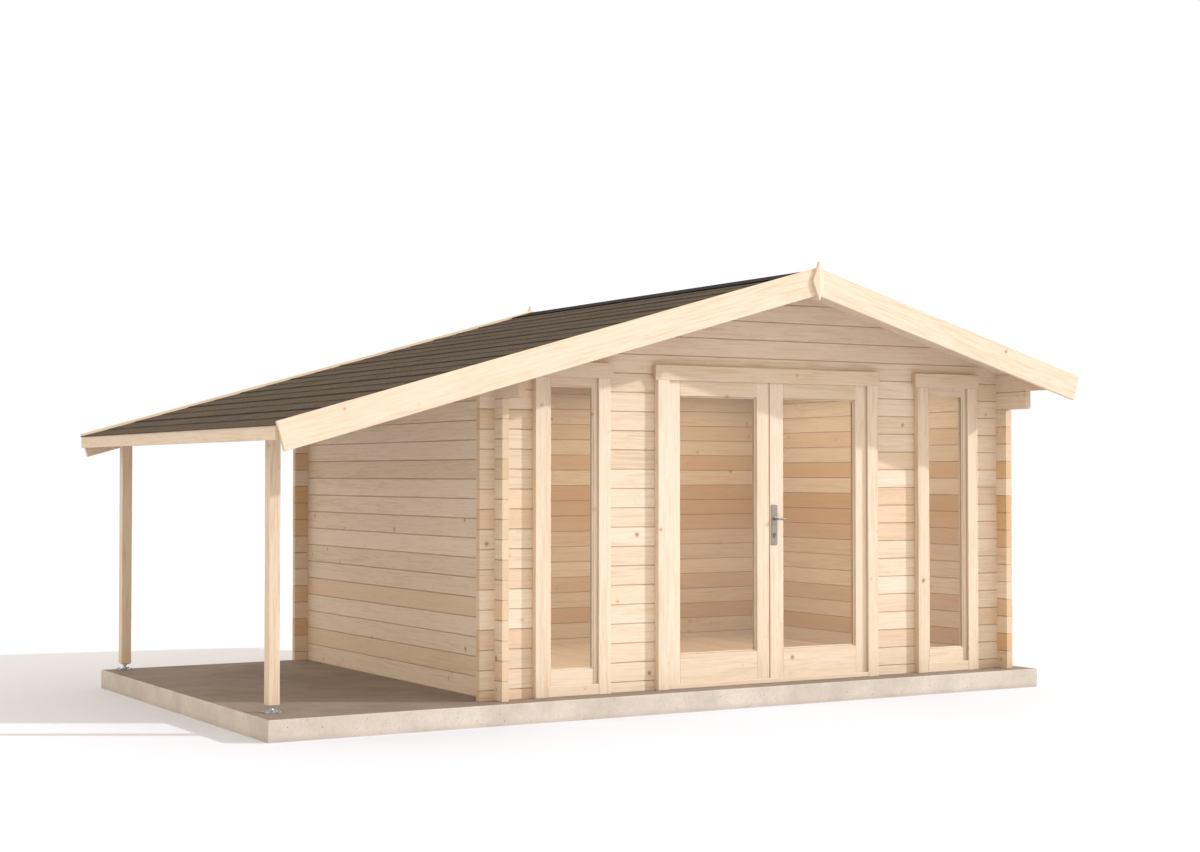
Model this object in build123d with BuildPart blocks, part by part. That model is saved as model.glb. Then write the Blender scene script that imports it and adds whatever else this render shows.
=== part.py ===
from build123d import *
import math
import os

# Sizes are in millimetres. X runs along the front wall from the middle of the doorway, under the ridge,
# Y runs back from the front wall's outer face and Z runs up from the ground.

# Concrete slab, flush with the rear wall: how far it reaches past the other three
slab_thickness = 125
slab_past_left = 1500
slab_past_right = 130
slab_front = 210
slab_chamfer = 6

# Log walls: each log has a V along its long edges, and crosses the next wall's logs half a course higher
wall_width = 4000
wall_depth = 3000
log_height = 120
log_thickness = 44
log_end = 100
groove_depth = 5
side_courses = 15
purlin_courses = 2
purlin_log_front = 300
purlin_log_rear = 200
opening_courses = 16
floor_thickness = 18

# Roof over the room and over the open side store
roof_pitch = 15.8
board_thickness = 19
covering_thickness = 6
covering_drip = 8
ridge_cap_width = 360
ridge_cap_thickness = 4
eave_past_left = 1586
eave_past_right = 220
roof_front = 542
roof_rear = 253
barge_thickness = 28
barge_width = 168
barge_rise = 15
fascia_thickness = 20
fascia_drop_left = 58
fascia_drop_right = 41
finial_width = 100
finial_height = 251
finial_thickness = 20
ridge_purlin_width = 70
ridge_purlin_height = 120

# Eave beam of the side store, its two posts and their metal feet
beam_width = 70
beam_outer_depth = 97
post_size = 70
post_chamfer = 4
post_past_left = 1355
post_front_inset = 120
post_rear_inset = 65
post_lift = 45
anchor_base = 96
anchor_top = 60
anchor_plate = 6
anchor_rod = 20

# Casings and jambs shared by the doorway and the windows
casing_width = 84
casing_board = 16
casing_stand_out = 44
casing_head_height = 95
casing_head_horn = 18
head_drop = 39
rebate_lap = 12
inner_casing_width = 47
inner_casing_board = 16

# Double door, opening inwards
doorway_width = 1572
door_jamb = 30
leaf_clearance = 5
leaf_thickness = 56
leaf_floor_gap = 6
threshold_height = 31
meeting_line = -6
meeting_gap = 6
meeting_bevel = 3
door_glass_near = 104
outer_stile = 102
top_rail = 108
bottom_rail = 187
door_glass_setback = 25

# Fixed windows beside the door
window_from_corner = 520
window_daylight = 358
window_jamb = 18
window_sill = 66
sash_thickness = 36
sash_stile = 38.5
sash_top_rail = 63
sash_bottom_rail = 102
window_glass_setback = 15
glass_thickness = 6
glass_groove = 8

# Lift-off hinges, three to a leaf
hinge_radius = 7.5
hinge_face_gap = 0.5
hinge_edge_gap = 2.5
hinge_half = 36
hinge_split = 0.4
hinge_plate = 3.5
hinge_plate_width = 26
hinge_plate_sink = 0.5
hinge_end_inset = 230

# Long lock plates on both faces of the right leaf, and the lever through them
lock_axis = 30
plate_width = 46
plate_height = 264
plate_thickness = 6
plate_below_lever = 170
plate_chamfer = 3
lever_height = 1059
lever_neck = 18
lever_bar = 14
lever_reach = 34
lever_length = 64
lever_ease = 3
lever_clearance = 0.5
spindle_bore = 24
cylinder_below_lever = 98
cylinder_width = 17
cylinder_web = 10
cylinder_length = 33
cylinder_stand_out = 8

# Sizes that follow
pitch = math.radians(roof_pitch)
wall_half = wall_width / 2
slab_left = wall_half + slab_past_left
slab_right = wall_half + slab_past_right
eave_left = wall_half + eave_past_left
eave_right = wall_half + eave_past_right
post_x = -wall_half - post_past_left
window_x = wall_half - window_from_corner
corner_x = (wall_width - log_thickness) / 2
corner_front = log_thickness / 2
corner_rear = wall_depth - log_thickness / 2
neck_height = log_height / 2
groove_side = groove_depth * math.sqrt(2)
side_wall_top = slab_thickness + side_courses * log_height
plate_top = side_wall_top + purlin_courses * log_height
opening_top = slab_thickness + (opening_courses + 0.5) * log_height
floor_top = slab_thickness + floor_thickness

board_rise = board_thickness / math.cos(pitch)
covering_rise = board_rise + covering_thickness / math.cos(pitch)
cap_rise = covering_rise + ridge_cap_thickness / math.cos(pitch)
barge_front = -roof_front
barge_rear = wall_depth + roof_rear
boards_front = barge_front + barge_thickness
boards_rear = barge_rear - barge_thickness
boards_length = boards_rear - boards_front

daylight_top = opening_top - head_drop
leaf_top = daylight_top + rebate_lap
leaf_bottom = floor_top + leaf_floor_gap
head_underside = leaf_top + leaf_clearance
casing_face = -casing_stand_out
casing_back = casing_face + casing_board
leaf_face = casing_back + leaf_clearance
leaf_back = leaf_face + leaf_thickness
doorway_half = doorway_width / 2
leaf_edge = doorway_half + rebate_lap
jamb_face = leaf_edge + leaf_clearance
door_rough = jamb_face + door_jamb

window_half = window_daylight / 2
sash_half = window_half + rebate_lap
window_rough = sash_half + window_jamb
sash_bottom = slab_thickness + window_sill - rebate_lap
sash_back = leaf_face + sash_thickness

hinge_x = leaf_edge + hinge_edge_gap
hinge_y = leaf_back + hinge_radius + hinge_face_gap
hinge_step = hinge_x + hinge_radius - hinge_plate_sink + hinge_plate
lever_axis_z = slab_thickness + lever_height

side_lines = [slab_thickness + course * log_height for course in range(1, side_courses + purlin_courses)]
side_necks = [slab_thickness + (course + 0.5) * log_height for course in range(side_courses + purlin_courses)]
front_necks = [slab_thickness + course * log_height for course in range(side_courses + purlin_courses + 1)]


def underside(x):
    """Height of the roof boards' lower face, at a distance x from the ridge line."""
    return plate_top + (wall_half - abs(x)) * math.tan(pitch)


front_courses = math.ceil((underside(0) - slab_thickness) / log_height)
front_lines = [slab_thickness + (course + 0.5) * log_height for course in range(front_courses)]
front_lines = [height for height in front_lines if height < underside(0)]


def across(y):
    """Upright plane across the ridge at a distance y from the front wall, facing the front."""
    return Plane.XZ.offset(-y)


def outline(plane, points):
    """Closed flat outline through points of a plane."""
    with BuildSketch(plane) as flat:
        with BuildLine():
            Polyline(*points, close=True)
        make_face()
    return flat.sketch


def panel(plane, low, high):
    """Rectangle of a plane between two opposite corners."""
    with BuildSketch(plane) as flat:
        with Locations(((low[0] + high[0]) / 2, (low[1] + high[1]) / 2)):
            Rectangle(high[0] - low[0], high[1] - low[1])
    return flat.sketch


def write(piece, name):
    """Labels a finished piece and writes it."""
    piece.part.label = name
    export_step(piece.part, f"parts/{name}.step")


def log_section(plane, bottom, top, lines):
    """Section through stacked logs, with a V on both faces at each course line."""
    grooves = [height for height in lines if bottom <= height <= top]
    with BuildSketch(plane) as section:
        with Locations((log_thickness / 2, (bottom + top) / 2)):
            Rectangle(log_thickness, top - bottom)
        with Locations(*[(face, height) for face in (0, log_thickness) for height in grooves]):
            Rectangle(groove_side, groove_side, rotation=45, mode=Mode.SUBTRACT)
    return section.sketch


def notch(columns, heights):
    """Cuts the part being built where the crossing logs' necks pass, in the given corner columns."""
    with Locations(*[(x, y, height) for x, y in columns for height in heights]):
        Box(log_thickness, log_thickness, neck_height, mode=Mode.SUBTRACT)


def cut_above_roof(y_from, y_to):
    """Trims the part being built to the roof boards' lower face."""
    reach = wall_width
    top = underside(0) + log_height
    points = [(-reach, underside(reach)), (0, underside(0)), (reach, underside(reach)), (reach, top), (-reach, top)]
    extrude(outline(across(y_to), points), amount=y_to - y_from, mode=Mode.SUBTRACT)


def cut_ridge_notch(y_from, y_to):
    """Cuts the seat of the ridge purlin through the part being built."""
    low = (-ridge_purlin_width / 2, underside(0) - ridge_purlin_height)
    high = (ridge_purlin_width / 2, underside(0))
    extrude(panel(across(y_to), low, high), amount=y_to - y_from, mode=Mode.SUBTRACT)


def concrete_slab():
    """Slab under the room and the side store."""
    with BuildPart() as slab:
        extrude(panel(Plane.XY, (-slab_left, -slab_front), (slab_right, wall_depth)), amount=slab_thickness)
        chamfer(slab.faces().sort_by(Axis.Z)[-1].edges(), slab_chamfer)
    return slab


def floor():
    """Floor boards between the walls."""
    inner_x = wall_half - log_thickness
    with BuildPart() as boards:
        low = (-inner_x, log_thickness)
        high = (inner_x, wall_depth - log_thickness)
        extrude(panel(Plane.XY.offset(slab_thickness), low, high), amount=floor_thickness)
    return boards


def front_wall_piece(x_from, x_to):
    """Front logs between two places, up to the log that spans the openings."""
    columns = [(x, corner_front) for x in (-corner_x, corner_x) if x_from < x < x_to]
    with BuildPart() as logs:
        section = log_section(Plane.YZ.offset(x_from), slab_thickness, opening_top, front_lines)
        extrude(section, amount=x_to - x_from)
        if columns:
            notch(columns, side_necks)
    return logs


def gable_wall(y_face, bottom):
    """Logs of a gable wall from a height up to the roof, notched at both corners."""
    half = wall_half + log_end
    plane = Plane(origin=(-half, y_face, 0), x_dir=(0, 1, 0), z_dir=(1, 0, 0))
    with BuildPart() as logs:
        extrude(log_section(plane, bottom, underside(0), front_lines), amount=2 * half)
        notch([(-corner_x, y_face + corner_front), (corner_x, y_face + corner_front)], side_necks)
        cut_above_roof(y_face, y_face + log_thickness)
        cut_ridge_notch(y_face, y_face + log_thickness)
    return logs


def side_logs(side, y_from, y_to, bottom, top):
    """Logs of a side wall, -1 left or 1 right, notched where the front and rear logs cross."""
    x_face = side * corner_x - log_thickness / 2
    plane = Plane(origin=(x_face, y_to, 0), x_dir=(1, 0, 0), z_dir=(0, -1, 0))
    necks = [height for height in front_necks if bottom - neck_height < height < top + neck_height]
    with BuildPart() as logs:
        extrude(log_section(plane, bottom, top, side_lines), amount=y_to - y_from)
        notch([(side * corner_x, corner_front), (side * corner_x, corner_rear)], necks)
    return logs


def side_wall(side):
    """Side wall up to its purlin logs."""
    return side_logs(side, -log_end, wall_depth + log_end, slab_thickness, side_wall_top)


def purlin_logs(side):
    """Top two logs of a side wall, which carry the roof past both gables, planed to its slope."""
    y_from = -purlin_log_front
    y_to = wall_depth + purlin_log_rear
    top = underside(wall_half - log_thickness)
    with BuildPart() as logs:
        add(side_logs(side, y_from, y_to, side_wall_top, top).part)
        cut_above_roof(y_from, y_to)
    return logs


def slope_points(x_from, x_to, low, high):
    """Corners of a sloping layer with plumb ends, between two heights over the boards' lower face."""
    lower = [(x, underside(x) + low) for x in (x_from, x_to)]
    upper = [(x, underside(x) + high) for x in (x_to, x_from)]
    return lower + upper


def roof_boards(side, eave):
    """Board deck of one slope, from the ridge to the back of the eave fascia."""
    with BuildPart() as deck:
        points = slope_points(0, side * (eave - fascia_thickness), 0, board_rise)
        extrude(outline(across(boards_rear), points), amount=boards_length)
    return deck


def roof_covering(side, eave):
    """Covering of one slope, lapped over the fascia as a drip."""
    with BuildPart() as covering:
        points = slope_points(0, side * (eave + covering_drip), board_rise, covering_rise)
        extrude(outline(across(boards_rear), points), amount=boards_length)
    return covering


def ridge_cap():
    """Folded strip over the ridge."""
    half = ridge_cap_width / 2
    lower = [(x, underside(x) + covering_rise) for x in (-half, 0, half)]
    upper = [(x, underside(x) + cap_rise) for x in (half, 0, -half)]
    with BuildPart() as cap:
        extrude(outline(across(boards_rear), lower + upper), amount=boards_length)
    return cap


def eave_fascia(side, eave, drop):
    """Upright board along an eave, planed to the slope on top."""
    outer = side * eave
    inner = side * (eave - fascia_thickness)
    bottom = underside(eave) - drop
    top = [(inner, underside(inner) + board_rise), (outer, underside(outer) + board_rise)]
    with BuildPart() as board:
        extrude(outline(across(boards_rear), [(outer, bottom), (inner, bottom)] + top), amount=boards_length)
    return board


def bargeboard(side, eave, y_rear):
    """Verge board of one slope: a plumb joint at the ridge and a square cut at the eave."""
    top = covering_rise + barge_rise
    bottom = top - barge_width / math.cos(pitch)
    end_x = eave - barge_width * math.sin(pitch)
    end_z = underside(eave) + top - barge_width * math.cos(pitch)
    points = [
        (0, underside(0) + top),
        (side * eave, underside(eave) + top),
        (side * end_x, end_z),
        (0, underside(0) + bottom),
    ]
    with BuildPart() as board:
        extrude(outline(across(y_rear), points), amount=barge_thickness)
    return board


def finials():
    """Rhombic boards over the ridge joints of both pairs of bargeboards."""
    centre = underside(0) + covering_rise + barge_rise - barge_width / math.cos(pitch) / 2
    half_width = finial_width / 2
    half_height = finial_height / 2
    points = [
        (0, centre - half_height),
        (half_width, centre),
        (0, centre + half_height),
        (-half_width, centre),
    ]
    with BuildPart() as boards:
        for y_rear in (barge_front, barge_rear + finial_thickness):
            extrude(outline(across(y_rear), points), amount=finial_thickness)
    return boards


def ridge_purlin():
    """Beam under the ridge, planed to both slopes, through the gables to the bargeboards."""
    half = ridge_purlin_width / 2
    bottom = underside(0) - ridge_purlin_height
    points = [(-half, bottom), (half, bottom), (half, underside(half)), (0, underside(0)), (-half, underside(half))]
    with BuildPart() as beam:
        extrude(outline(across(boards_rear), points), amount=boards_length)
    return beam


def beam_bottom():
    """Height of the eave beam's lower face."""
    return underside(-post_x + beam_width / 2) - beam_outer_depth


def eave_beam():
    """Beam over the side store's posts, planed to the slope."""
    outer = -post_x + beam_width / 2
    inner = -post_x - beam_width / 2
    bottom = beam_bottom()
    points = [(-outer, bottom), (-inner, bottom), (-inner, underside(inner)), (-outer, underside(outer))]
    with BuildPart() as beam:
        extrude(outline(across(boards_rear), points), amount=boards_length)
    return beam


def post_centres(height):
    """Places of the two posts at a height."""
    return [(post_x, y, height) for y in (post_front_inset, wall_depth - post_rear_inset)]


def posts():
    """Two square posts with eased edges, from their metal feet to the eave beam."""
    bottom = slab_thickness + post_lift
    length = beam_bottom() - bottom
    with BuildPart() as timbers:
        with Locations(*post_centres(bottom + length / 2)):
            Box(post_size, post_size, length)
        chamfer(timbers.edges().filter_by(Axis.Z), post_chamfer)
    return timbers


def post_anchors():
    """Metal feet: a plate on the slab, a rod and a plate under the post."""
    rod_length = post_lift - 2 * anchor_plate
    with BuildPart() as feet:
        with Locations(*post_centres(slab_thickness + anchor_plate / 2)):
            Box(anchor_base, anchor_base, anchor_plate)
        with Locations(*post_centres(slab_thickness + post_lift / 2)):
            Cylinder(anchor_rod / 2, rod_length)
        with Locations(*post_centres(slab_thickness + post_lift - anchor_plate / 2)):
            Box(anchor_top, anchor_top, anchor_plate)
    return feet


def door_frame_side(side):
    """Jamb with its casings, wrapped round the log ends beside the doorway, -1 left or 1 right."""
    casing_edge = doorway_half + casing_width
    middle = [
        (jamb_face, casing_back),
        (casing_edge, casing_back),
        (casing_edge, 0),
        (door_rough, 0),
        (door_rough, log_thickness),
        (hinge_step, log_thickness),
        (hinge_step, leaf_back),
        (jamb_face, leaf_back),
    ]
    inner_face = log_thickness + inner_casing_board
    inner_edge = door_rough + inner_casing_width
    with BuildPart() as frame:
        front = panel(Plane.XY.offset(slab_thickness), (doorway_half, casing_face), (casing_edge, casing_back))
        extrude(front, amount=daylight_top - slab_thickness)
        extrude(outline(Plane.XY.offset(slab_thickness), middle), amount=head_underside - slab_thickness)
        back = panel(Plane.XY.offset(floor_top), (hinge_step, log_thickness), (inner_edge, inner_face))
        extrude(back, amount=head_underside - floor_top)
        if side < 0:
            mirror(about=Plane.YZ, mode=Mode.REPLACE)
    return frame


def door_frame_head():
    """Head of the door frame: outer head board, head jamb and inner casing."""
    casing_half = doorway_half + casing_width + casing_head_horn
    casing_top = daylight_top + casing_head_height
    inner_half = door_rough + inner_casing_width
    inner_face = log_thickness + inner_casing_board
    with BuildPart() as frame:
        front = panel(across(casing_back), (-casing_half, daylight_top), (casing_half, casing_top))
        extrude(front, amount=casing_board)
        filler = panel(across(0), (-casing_half, head_underside), (casing_half, casing_top))
        extrude(filler, amount=-casing_back)
        jamb = panel(across(log_thickness), (-door_rough, head_underside), (door_rough, opening_top))
        extrude(jamb, amount=log_thickness)
        back = panel(across(inner_face), (-inner_half, head_underside), (inner_half, opening_top + inner_casing_width))
        extrude(back, amount=inner_casing_board)
    return frame


def door_threshold():
    """Sill under the leaves, raised at the front to lap them, level with the floor behind."""
    with BuildPart() as sill:
        front = panel(Plane.XY.offset(slab_thickness), (-doorway_half, casing_face), (doorway_half, casing_back))
        extrude(front, amount=threshold_height)
        back = panel(Plane.XY.offset(slab_thickness), (-jamb_face, casing_back), (jamb_face, log_thickness))
        extrude(back, amount=floor_thickness)
    return sill


def window_frames():
    """Both window frames: casings, jambs wrapped round the log ends, and the stop behind the sash."""
    casing_half = window_half + casing_width
    head_half = casing_half + casing_head_horn
    casing_top = daylight_top + casing_head_height
    sill_top = slab_thickness + window_sill
    inner_half = window_rough + inner_casing_width
    inner_face = log_thickness + inner_casing_board
    front_hole = (window_half, sill_top, daylight_top)
    sash_hole = (sash_half, sash_bottom, leaf_top)
    # Back and front of each layer, its half width, bottom and top, then the half width, bottom and top of its hole
    layers = [
        (casing_back, casing_face, (casing_half, slab_thickness, daylight_top), front_hole),
        (0, casing_back, (casing_half, slab_thickness, daylight_top), sash_hole),
        (sash_back, 0, (window_rough, slab_thickness, opening_top), sash_hole),
        (log_thickness, sash_back, (window_rough, slab_thickness, opening_top), front_hole),
        (inner_face, log_thickness, (inner_half, floor_top, opening_top + inner_casing_width), front_hole),
    ]
    with BuildPart() as frames:
        for x in (-window_x, window_x):
            for back, front, (half, bottom, top), (hole_half, hole_bottom, hole_top) in layers:
                extrude(panel(across(back), (x - half, bottom), (x + half, top)), amount=back - front)
                hole = panel(across(back), (x - hole_half, hole_bottom), (x + hole_half, hole_top))
                extrude(hole, amount=back - front, mode=Mode.SUBTRACT)
            head = panel(across(0), (x - head_half, daylight_top), (x + head_half, casing_top))
            extrude(head, amount=-casing_face)
            lap = panel(across(0), (x - sash_half, daylight_top), (x + sash_half, leaf_top))
            extrude(lap, amount=-casing_back, mode=Mode.SUBTRACT)
    return frames


def pane_rim(bottom, top, lower_rail, upper_rail):
    """Bottom and top of the glass that shows between two rails."""
    return bottom + lower_rail, top - upper_rail


def window_sashes():
    """Both fixed sashes, grooved inside for their panes."""
    glass_low, glass_high = pane_rim(sash_bottom, leaf_top, sash_bottom_rail, sash_top_rail)
    glass_half = sash_half - sash_stile
    glass_back = leaf_face + window_glass_setback + glass_thickness
    with BuildPart() as sashes:
        for x in (-window_x, window_x):
            rim = panel(across(sash_back), (x - sash_half, sash_bottom), (x + sash_half, leaf_top))
            extrude(rim, amount=sash_thickness)
            hole = panel(across(sash_back), (x - glass_half, glass_low), (x + glass_half, glass_high))
            extrude(hole, amount=sash_thickness, mode=Mode.SUBTRACT)
            extrude(groove_rectangle(glass_back, x - glass_half, x + glass_half, glass_low, glass_high),
                    amount=glass_thickness, mode=Mode.SUBTRACT)
    return sashes


def groove_rectangle(y_back, x_low, x_high, z_low, z_high):
    """Outline of a pane with the rim that its groove holds, on its back face."""
    low = (x_low - glass_groove, z_low - glass_groove)
    high = (x_high + glass_groove, z_high + glass_groove)
    return panel(across(y_back), low, high)


def window_glass():
    """Panes of both windows."""
    glass_low, glass_high = pane_rim(sash_bottom, leaf_top, sash_bottom_rail, sash_top_rail)
    glass_half = sash_half - sash_stile
    glass_back = leaf_face + window_glass_setback + glass_thickness
    with BuildPart() as panes:
        for x in (-window_x, window_x):
            pane = groove_rectangle(glass_back, x - glass_half, x + glass_half, glass_low, glass_high)
            extrude(pane, amount=glass_thickness)
    return panes


def leaf_span(side):
    """Meeting edge and hinge edge of a leaf, -1 left or 1 right, along X."""
    return meeting_line + side * meeting_gap / 2, side * leaf_edge


def glass_span(side):
    """Ends of a leaf's glass along X, lower one first."""
    ends = (side * door_glass_near, side * (leaf_edge - outer_stile))
    return min(ends), max(ends)


def door_leaf(side):
    """Glazed leaf, its meeting edge planed back so that its outer corner clears the other leaf as it swings."""
    meeting, hinged = leaf_span(side)
    plan = [
        (hinged, leaf_face),
        (hinged, leaf_back),
        (meeting, leaf_back),
        (meeting + side * meeting_bevel, leaf_face),
    ]
    x_low, x_high = glass_span(side)
    glass_low, glass_high = pane_rim(leaf_bottom, leaf_top, bottom_rail, top_rail)
    glass_back = leaf_face + door_glass_setback + glass_thickness
    with BuildPart() as leaf:
        extrude(outline(Plane.XY.offset(leaf_bottom), plan), amount=leaf_top - leaf_bottom, dir=(0, 0, 1))
        hole = panel(across(leaf_back), (x_low, glass_low), (x_high, glass_high))
        extrude(hole, amount=leaf_thickness, mode=Mode.SUBTRACT)
        extrude(groove_rectangle(glass_back, x_low, x_high, glass_low, glass_high),
                amount=glass_thickness, mode=Mode.SUBTRACT)
        if side > 0:
            with BuildSketch(across(leaf_back)):
                with Locations((lock_axis, lever_axis_z)):
                    Circle(spindle_bore / 2)
            extrude(amount=leaf_thickness, mode=Mode.SUBTRACT)
            extrude(lock_cylinder_outline(leaf_back), amount=leaf_thickness, mode=Mode.SUBTRACT)
    return leaf


def door_glass(side):
    """Pane of one leaf."""
    x_low, x_high = glass_span(side)
    glass_low, glass_high = pane_rim(leaf_bottom, leaf_top, bottom_rail, top_rail)
    glass_back = leaf_face + door_glass_setback + glass_thickness
    with BuildPart() as pane:
        extrude(groove_rectangle(glass_back, x_low, x_high, glass_low, glass_high), amount=glass_thickness)
    return pane


def hinge_heights():
    """Heights at which the two halves of each hinge meet."""
    low = leaf_bottom + hinge_end_inset
    high = leaf_top - hinge_end_inset
    return low, (low + high) / 2, high


def door_hinges():
    """Lower hinge halves of both leaves, their plates on the jambs."""
    with BuildPart() as halves:
        for side in (-1, 1):
            for height in hinge_heights():
                base = Plane.XY.offset(height - hinge_half)
                with BuildSketch(base):
                    with Locations((side * hinge_x, hinge_y)):
                        Circle(hinge_radius)
                    with Locations((side * (hinge_step - hinge_plate / 2), hinge_y + hinge_plate_width / 2)):
                        Rectangle(hinge_plate, hinge_plate_width - 2 * hinge_face_gap)
                    with Locations((side * (hinge_step - hinge_plate), hinge_y)):
                        Rectangle(hinge_plate, hinge_radius)
                extrude(amount=hinge_half - hinge_split)
    return halves


def leaf_hinges(side):
    """Upper hinge halves of one leaf, their plates on its inner face."""
    with BuildPart() as halves:
        for height in hinge_heights():
            with BuildSketch(Plane.XY.offset(height)):
                with Locations((side * hinge_x, hinge_y)):
                    Circle(hinge_radius)
                with Locations((side * (leaf_edge - hinge_plate_width / 2), leaf_back + hinge_plate / 2)):
                    Rectangle(hinge_plate_width, hinge_plate)
            extrude(amount=hinge_half)
    return halves


def lock_cylinder_outline(y_back):
    """Profile cylinder's outline: a round barrel over a narrow web."""
    centre = lever_axis_z - cylinder_below_lever
    with BuildSketch(across(y_back)) as profile:
        with Locations((lock_axis, centre)):
            Circle(cylinder_width / 2)
        with Locations((lock_axis, centre - cylinder_length / 2 + cylinder_width / 4)):
            Rectangle(cylinder_web, cylinder_length - cylinder_width / 2)
    return profile.sketch


def lock_plates():
    """Long plates on both faces of the right leaf, bored for the lever, and the lock cylinder between them."""
    centre_z = lever_axis_z - plate_below_lever + plate_height / 2
    with BuildPart() as plates:
        for y_back in (leaf_face, leaf_back + plate_thickness):
            with BuildSketch(across(y_back)):
                with Locations((lock_axis, centre_z)):
                    Rectangle(plate_width, plate_height)
                with Locations((lock_axis, lever_axis_z)):
                    Circle(lever_neck / 2 + lever_clearance, mode=Mode.SUBTRACT)
            extrude(amount=plate_thickness)
        outer_rim = plates.faces().sort_by(Axis.Y)[0].outer_wire().edges()
        chamfer(outer_rim, plate_chamfer)
        inner_rim = plates.faces().sort_by(Axis.Y)[-1].outer_wire().edges()
        chamfer(inner_rim, plate_chamfer)
        barrel_back = leaf_back + plate_thickness + cylinder_stand_out
        barrel_length = leaf_thickness + 2 * (plate_thickness + cylinder_stand_out)
        extrude(lock_cylinder_outline(barrel_back), amount=barrel_length)
    return plates


def door_lever():
    """Outer and inner lever on one shaft through the lock plates."""
    outer_y = leaf_face - plate_thickness - lever_reach
    inner_y = leaf_back + plate_thickness + lever_reach
    shaft_length = inner_y - outer_y + lever_neck
    with BuildPart() as lever:
        with BuildSketch(across(inner_y + lever_neck / 2)):
            with Locations((lock_axis, lever_axis_z)):
                Circle(lever_neck / 2)
        extrude(amount=shaft_length)
        chamfer(lever.edges().filter_by(GeomType.CIRCLE), lever_ease)
        for y in (outer_y, inner_y):
            with BuildSketch(Plane(origin=(lock_axis, y, lever_axis_z), x_dir=(0, 1, 0), z_dir=(1, 0, 0))):
                Circle(lever_bar / 2)
            extrude(amount=lever_length)
    return lever


os.makedirs("parts", exist_ok=True)

write(concrete_slab(), "concrete_slab")
write(floor(), "floor")

window_near = window_x - window_rough
window_far = window_x + window_rough
wall_end = wall_half + log_end
write(front_wall_piece(-wall_end, -window_far), "front_wall_left")
write(front_wall_piece(-window_near, -door_rough), "front_wall_mid_left")
write(front_wall_piece(door_rough, window_near), "front_wall_mid_right")
write(front_wall_piece(window_far, wall_end), "front_wall_right")
write(gable_wall(0, opening_top), "front_gable")
write(gable_wall(wall_depth - log_thickness, slab_thickness), "rear_wall")

for side, name in ((-1, "left"), (1, "right")):
    eave = eave_left if side < 0 else eave_right
    drop = fascia_drop_left if side < 0 else fascia_drop_right
    write(side_wall(side), f"{name}_wall")
    write(purlin_logs(side), f"{name}_purlin_logs")
    write(roof_boards(side, eave), f"roof_boards_{name}")
    write(roof_covering(side, eave), f"roof_covering_{name}")
    write(eave_fascia(side, eave, drop), f"{name}_fascia")
    write(bargeboard(side, eave, boards_front), f"front_barge_{name}")
    write(bargeboard(side, eave, barge_rear), f"rear_barge_{name}")
    write(door_frame_side(side), f"door_frame_{name}")
    write(door_leaf(side), f"{name}_door_leaf")
    write(door_glass(side), f"{name}_door_glass")
    write(leaf_hinges(side), f"{name}_leaf_hinges")

write(ridge_cap(), "ridge_cap")
write(finials(), "finials")
write(ridge_purlin(), "ridge_purlin")
write(eave_beam(), "eave_beam")
write(posts(), "posts")
write(post_anchors(), "post_anchors")
write(door_frame_head(), "door_frame_head")
write(door_threshold(), "door_threshold")
write(door_hinges(), "door_hinges")
write(window_frames(), "window_frames")
write(window_sashes(), "window_sashes")
write(window_glass(), "window_glass")
write(lock_plates(), "lock_plates")
write(door_lever(), "door_lever")
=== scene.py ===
# %% [markdown]
# # A log cabin, dressed in Blender
# The construction is already there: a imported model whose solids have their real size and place. This script
# gives every piece its finish, and models afresh the pieces whose edges, joints and small parts the solids
# leave out. All lengths are in metres, and every new piece takes the place of a packed one.

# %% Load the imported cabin
import bmesh
import bpy
import math
from mathutils import Matrix, Vector


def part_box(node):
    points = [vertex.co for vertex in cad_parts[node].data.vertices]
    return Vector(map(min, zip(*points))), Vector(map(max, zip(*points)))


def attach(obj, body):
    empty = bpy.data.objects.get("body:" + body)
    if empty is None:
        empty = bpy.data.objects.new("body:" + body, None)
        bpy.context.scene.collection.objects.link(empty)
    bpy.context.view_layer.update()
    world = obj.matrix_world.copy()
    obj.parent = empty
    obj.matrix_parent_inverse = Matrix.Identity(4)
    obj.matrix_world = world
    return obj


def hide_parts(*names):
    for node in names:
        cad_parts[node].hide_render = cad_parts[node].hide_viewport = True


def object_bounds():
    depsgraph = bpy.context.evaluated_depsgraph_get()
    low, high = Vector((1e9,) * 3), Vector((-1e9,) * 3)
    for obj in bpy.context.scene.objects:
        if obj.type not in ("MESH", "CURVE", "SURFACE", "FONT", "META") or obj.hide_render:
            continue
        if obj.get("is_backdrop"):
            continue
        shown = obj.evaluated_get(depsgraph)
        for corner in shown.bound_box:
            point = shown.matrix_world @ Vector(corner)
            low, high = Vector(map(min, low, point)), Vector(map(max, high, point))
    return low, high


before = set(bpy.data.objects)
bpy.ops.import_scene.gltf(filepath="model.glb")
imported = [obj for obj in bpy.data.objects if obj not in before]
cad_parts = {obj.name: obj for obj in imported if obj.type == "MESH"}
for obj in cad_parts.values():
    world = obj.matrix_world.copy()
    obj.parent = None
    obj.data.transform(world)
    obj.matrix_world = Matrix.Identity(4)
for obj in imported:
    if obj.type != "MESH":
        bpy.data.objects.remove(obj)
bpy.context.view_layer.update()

# %% [markdown]
# ## Camera
# The camera stands at eye height in front of the left corner. Its place, its turn and its lens come from a
# fit of the log courses, the slab and the roof lines, so the cabin falls where it does in the photograph. It
# goes first, because every later look at the scene needs it.

# %% Camera
camera_data = bpy.data.cameras.new("camera")
camera_data.lens = 58.284
camera_data.sensor_width = 36
camera = bpy.data.objects.new("camera", camera_data)
camera.location = (-7.3485, -10.3434, 1.475)
camera.rotation_euler = (math.radians(91.419), 0, math.radians(-30.447))
bpy.context.scene.collection.objects.link(camera)
bpy.context.scene.camera = camera
print("camera lens", camera_data.lens, "mm")

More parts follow.
